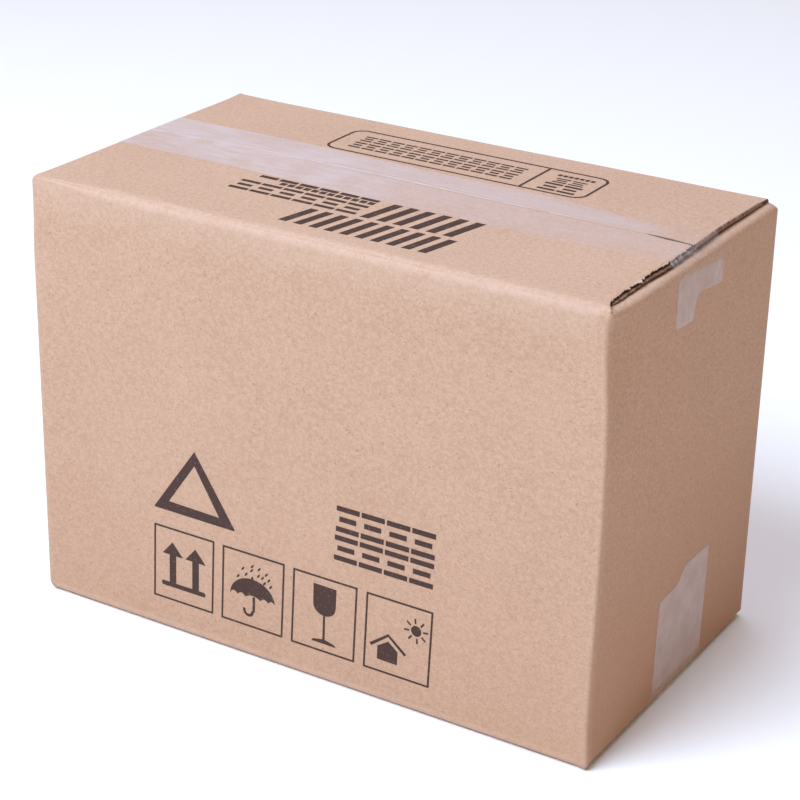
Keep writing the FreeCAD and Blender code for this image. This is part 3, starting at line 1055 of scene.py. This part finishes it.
class Nodes:
    """Small helper that builds a node material."""

    def __init__(self, name):
        self.material = bpy.data.materials.new(name)
        self.material.use_nodes = True
        self.tree = self.material.node_tree
        self.shader = self.tree.nodes["Principled BSDF"]

    def add(self, kind, **values):
        node = self.tree.nodes.new(kind)
        for key, value in values.items():
            setattr(node, key, value)
        return node

    def link(self, source, target):
        self.tree.links.new(source, target)

    def feed(self, sockets, values):
        """Gives sockets, by name or number, their values, colours or links."""
        for key, value in values.items():
            if isinstance(value, (int, float)):
                sockets[key].default_value = value
            elif isinstance(value, tuple):
                sockets[key].default_value = (*value, 1)
            elif value is not None:
                self.link(value, sockets[key])

    def math(self, operation, *values):
        node = self.add("ShaderNodeMath", operation=operation)
        self.feed(node.inputs, dict(enumerate(values)))
        return node.outputs[0]

    def places(self, scale=(1, 1, 1)):
        found = self.add("ShaderNodeTexCoord").outputs["Object"]
        mapping = self.add("ShaderNodeMapping")
        mapping.inputs["Scale"].default_value = scale
        self.link(found, mapping.inputs["Vector"])
        return mapping.outputs[0]

    def noise(self, size, detail, stretch=(1, 1, 1), rough=0.55):
        """Noise with features of a size in millimetres."""
        node = self.add("ShaderNodeTexNoise")
        self.feed(node.inputs, {"Scale": 1 / (size * MM), "Detail": detail, "Roughness": rough,
                                "Vector": self.places(stretch)})
        return node.outputs["Fac"]

    def blend(self, factor, first, second, kind="MIX"):
        node = self.add("ShaderNodeMix", data_type="RGBA", blend_type=kind)
        self.feed(node.inputs, {0: factor, 6: first, 7: second})
        return node.outputs[2]

    def spread(self, value, low, high, to_low=0.0, to_high=1.0):
        node = self.add("ShaderNodeMapRange")
        self.feed(node.inputs, {"Value": value, "From Min": low, "From Max": high,
                                "To Min": to_low, "To Max": to_high})
        return node.outputs[0]

    def parts(self, vector):
        node = self.add("ShaderNodeSeparateXYZ")
        self.link(vector, node.inputs[0])
        return node.outputs

    def attribute(self, name):
        return self.add("ShaderNodeAttribute", attribute_name=name).outputs["Fac"]

    def bump(self, height, distance, after=None):
        node = self.add("ShaderNodeBump")
        self.feed(node.inputs, {"Height": height, "Distance": distance * MM, "Normal": after})
        return node.outputs[0]

    def surface(self, colour, roughness, specular, normal=None):
        self.feed(self.shader.inputs, {"Base Color": colour, "Roughness": roughness,
                                       "Specular IOR Level": specular, "Normal": normal})
        return self.material


# Colours of board, ink and film
KRAFT = (0.528, 0.329, 0.220)
KRAFT_DARK = (0.448, 0.264, 0.169)
KRAFT_LIGHT = (0.624, 0.410, 0.291)
FLECK_DARK = (0.250, 0.145, 0.100)
# Pale of rubbed board, also used as a painted highlight on the folds
WORN_AND_HIGHLIGHT = (0.660, 0.470, 0.370)
# Painted shade towards the ground
GROUND_SHADE = (0.400, 0.215, 0.125)
# Painted warm shade tint of the end walls
END_SHADE_TINT = (1.06, 1.00, 0.94)
EDGE = (0.360, 0.215, 0.150)
# Painted shade of open fluting in cut board
EDGE_SHADE = (0.120, 0.056, 0.034)
INK = (0.058, 0.028, 0.021)
INK_WORN = (0.150, 0.095, 0.075)
FILM = (0.790, 0.672, 0.662)

# Spots on the board: noise size, detail and roughness, span of the noise, greatest share and colour
SPOTS = [
    (0.6, 3, 0.65, 0.50, 0.66, 0.85, KRAFT_DARK),
    (1.2, 2, 0.55, 0.675, 0.72, 0.6, FLECK_DARK),
    (2.4, 2, 0.55, 0.72, 0.78, 0.35, WORN_AND_HIGHLIGHT),
]

# Width of a flute, and painted shade towards the ground: its height, its strength, and its share off the
# ends
FLUTE = 3.6
GROUND_SHADE_HEIGHT = 120
GROUND_SHADE_SHARE = 0.85
GROUND_SHADE_OFF_ENDS = 0.18

# Film: its noises' stretch, its least and greatest cover, and its gloss
STREAKS = (0.25, 1, 1)
RIPPLES = (0.5, 1, 1)
FILM_COVER = (0.06, 0.62)
FILM_ROUGHNESS = 0.28
FILM_SPECULAR = 0.25


def flutes(nodes, where, end):
    """Faint stripes over the fluting, up the walls and on across the flaps."""
    pick = nodes.add("ShaderNodeMix")
    nodes.feed(pick.inputs, {0: end, 2: where[0], 3: where[1]})
    turns = nodes.math("MULTIPLY", pick.outputs[0], 2 * math.pi / (FLUTE * MM))
    return nodes.spread(nodes.math("SINE", turns), -1, 1)


def plain_board(nodes, fibre):
    """Colour of clean board: two browns in blotches, light fibres and spots."""
    blotch = nodes.noise(45, 2)
    colour = nodes.blend(nodes.spread(blotch, 0.35, 0.65, 0.35, 0.75), KRAFT_DARK, KRAFT)
    colour = nodes.blend(nodes.spread(fibre, 0.38, 0.58, 0.0, 0.60), colour, KRAFT_LIGHT)
    for size, detail, rough, low, high, share, tint in SPOTS:
        spots = nodes.noise(size, detail, rough=rough)
        colour = nodes.blend(nodes.spread(spots, low, high, 0.0, share), colour, tint)
    return colour


def mottled_and_shaded_ends(nodes, colour, end_wall, height):
    """The end walls are mottled and carry a painted warm shade tint; painted shade darkens the walls
    towards the ground, the end walls most.
    """
    coarse = nodes.noise(1.0, 4, rough=0.7)
    darker = nodes.math("MULTIPLY", nodes.spread(coarse, 0.50, 0.62, 0.0, 0.75), end_wall)
    colour = nodes.blend(darker, colour, KRAFT_DARK)
    lighter = nodes.math("MULTIPLY", nodes.spread(coarse, 0.50, 0.38, 0.0, 0.4), end_wall)
    colour = nodes.blend(lighter, colour, KRAFT_LIGHT)
    # Painted shade towards the ground, weaker off the end walls
    low = nodes.spread(height, 0.0, GROUND_SHADE_HEIGHT * MM, GROUND_SHADE_SHARE, 0.0)
    shaded_low = nodes.math("MULTIPLY", low, nodes.spread(end_wall, 0, 1, GROUND_SHADE_OFF_ENDS, 1.0))
    colour = nodes.blend(shaded_low, colour, GROUND_SHADE)
    # Painted warm shade tint on the end walls
    return nodes.blend(end_wall, colour, END_SHADE_TINT, "MULTIPLY")


def board_material():
    nodes = Nodes("kraft_board")
    fibre = nodes.noise(1.3, 5, (0.8, 0.8, 1), 0.72)
    where = nodes.parts(nodes.places())
    facing = nodes.parts(nodes.add("ShaderNodeNewGeometry").outputs["True Normal"])
    aside = nodes.math("ABSOLUTE", facing[0])
    end = nodes.math("GREATER_THAN", aside, 0.7)
    end_wall = nodes.spread(aside, 0.4, 0.95)
    colour = mottled_and_shaded_ends(nodes, plain_board(nodes, fibre), end_wall, where[2])
    ribs = flutes(nodes, where, end)
    colour = nodes.blend(nodes.spread(ribs, 0, 1, 0.0, 0.03), colour, KRAFT_DARK)
    wear_shading_haze = nodes.attribute("wear_shading_haze")
    # Fold wear with a painted highlight, and pale torn liner
    scuff_and_highlight = nodes.math("MULTIPLY", wear_shading_haze, nodes.spread(nodes.noise(4, 4), 0.3, 0.7, 0.25, 0.5))
    colour = nodes.blend(scuff_and_highlight, colour, WORN_AND_HIGHLIGHT)
    relief = nodes.bump(ribs, 0.025, nodes.bump(fibre, 0.10))
    return nodes.surface(colour, 0.68, 0.35, relief)


def edge_material():
    """Cut board, with painted shade where the fluting is open: dark at low shade, brown at full."""
    nodes = Nodes("cut_board")
    torn = nodes.noise(1.1, 4)
    shade = nodes.math("MULTIPLY", nodes.attribute("wear_shading_haze"), nodes.spread(torn, 0.35, 0.6, 0.55, 1.0))
    return nodes.surface(nodes.blend(shade, EDGE_SHADE, EDGE), 0.85, 0.5, nodes.bump(torn, 0.4))


def ink_material():
    nodes = Nodes("flexo_ink")
    worn = nodes.noise(1.4, 4)
    colour = nodes.blend(nodes.spread(worn, 0.58, 0.74), INK, INK_WORN)
    return nodes.surface(colour, 0.6, 0.25, nodes.bump(worn, 0.05))


def film_material():
    """Clear packing film, cloudy where air is under it."""
    nodes = Nodes("packing_film")
    haze = nodes.attribute("wear_shading_haze")
    streak = nodes.noise(9, 4, STREAKS)
    cloud = nodes.math("MULTIPLY", haze, nodes.spread(streak, 0.3, 0.7, 0.8, 1.15))
    nodes.link(nodes.spread(cloud, 0, 1, *FILM_COVER), nodes.shader.inputs["Alpha"])
    relief = nodes.bump(nodes.noise(6, 3, RIPPLES), 0.15)
    return nodes.surface(FILM, FILM_ROUGHNESS, FILM_SPECULAR, relief)


# Stage

FLOOR_SIZE = 12
FLOOR_COLOUR = (0.96, 0.94, 0.92)
WORLD_COLOUR = (1.0, 0.80, 0.57)
WORLD_STRENGTH = 0.385

# Square lights: place and width in metres, power and colour. They are aimed at the box.
LIGHTS = {
    "key": ((-0.47, -1.20, 1.66), 1.1, 55.1, (0.655, 0.793, 0.99)),
    "overhead": ((-0.1, 0.7, 2.4), 1.8, 32, (0.56, 0.69, 1.0)),
}
LIGHTS_AIM = Vector((0, 0, 0.1))


def make_floor():
    bpy.ops.mesh.primitive_plane_add(size=FLOOR_SIZE, location=(0, 0, 0))
    floor = bpy.context.object
    floor.name = "floor"
    floor.data.materials.append(Nodes("floor").surface(FLOOR_COLOUR, 0.9, 0.1))


def add_area(name, place, size, power, colour):
    data = bpy.data.lights.new(name, "AREA")
    data.shape = "SQUARE"
    data.size = size
    data.energy = power
    data.color = colour
    light = add_object(name, data)
    light.location = place
    aim = LIGHTS_AIM - Vector(place)
    light.rotation_euler = aim.to_track_quat("-Z", "Y").to_euler()


def make_lights():
    world = bpy.data.worlds.new("studio")
    world.use_nodes = True
    background = world.node_tree.nodes["Background"]
    background.inputs[0].default_value = (*WORLD_COLOUR, 1)
    background.inputs[1].default_value = WORLD_STRENGTH
    bpy.context.scene.world = world
    for name, (place, size, power, colour) in LIGHTS.items():
        add_area(name, place, size, power, colour)


def make_camera():
    azimuth, elevation, roll = CAMERA_ANGLES
    back = Vector((math.sin(azimuth) * math.cos(elevation), -math.cos(azimuth) * math.cos(elevation),
                   math.sin(elevation)))
    level = (-back).cross(UP).normalized()
    upright = level.cross(-back)
    right = level * math.cos(roll) + upright * math.sin(roll)
    up = upright * math.cos(roll) - level * math.sin(roll)
    data = bpy.data.cameras.new("camera")
    data.sensor_width = SENSOR
    data.lens = FOCAL_PIXELS / PICTURE_PIXELS * SENSOR
    camera = add_object("camera", data)
    turn = Matrix((right, up, back)).transposed().to_4x4()
    camera.matrix_world = Matrix.Translation(CAMERA_PLACE * MM) @ turn
    bpy.context.scene.camera = camera


board = board_material()
ink = ink_material()
film = film_material()

carton = make_board([board, edge_material()])
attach(carton, "root")
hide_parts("carton")

for film_name, is_top in (("top_tape", True), ("bottom_tape", False)):
    strip = make_film(film_name + "_film", is_top, film)
    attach(strip, "root")
    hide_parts(film_name)

marks = (
    ("front_print", front_marks(), lambda x, z: on_wall("front", x, z, INK_LIFT)),
    ("top_print", top_marks(), lambda x, y: on_top(*carried(x, y).xy, INK_LIFT)),
)
for print_name, shapes, carry in marks:
    printed = make_print(print_name, shapes, carry, ink)
    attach(printed, "root")

make_floor()
make_lights()
make_camera()
bpy.context.scene.view_settings.view_transform = "Standard"
